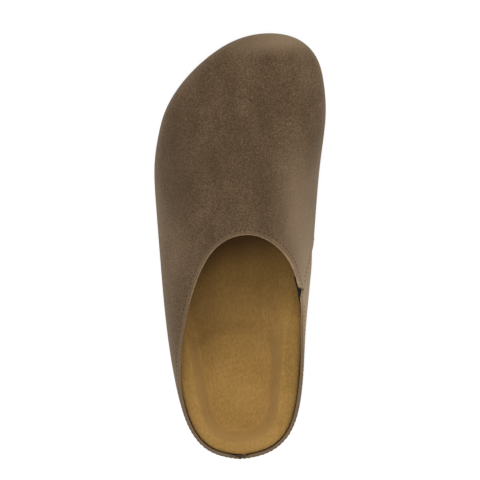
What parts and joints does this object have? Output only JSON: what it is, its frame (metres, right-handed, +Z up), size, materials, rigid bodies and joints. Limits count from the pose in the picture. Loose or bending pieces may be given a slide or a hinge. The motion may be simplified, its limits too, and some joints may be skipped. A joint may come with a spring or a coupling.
{
  "type": "clog slipper",
  "caption": "Left closed-toe, open-back suede clog slipper with a contoured tan footbed, an elastic gore at the inner collar and a dark lugged sole.",
  "frame": {"origin": "on the floor under the middle of the shoe's length and width", "axes": "+Z up, +Y towards the heel, -Y towards the toe, +X towards the outer (lateral) side, -X towards the inner (medial) side"},
  "size_m": [0.1082, 0.268, 0.0919],
  "materials": {
    "sole": "matte dark brown foam rubber",
    "footbed": "matte tan suede lining",
    "suede": "napped taupe suede",
    "elastic": "ribbed black elastic"
  },
  "bodies": {
    "root": {"outsole": "sole", "footbed": "footbed", "upper": "suede", "gore": "elastic"}
  },
  "joints": []
}
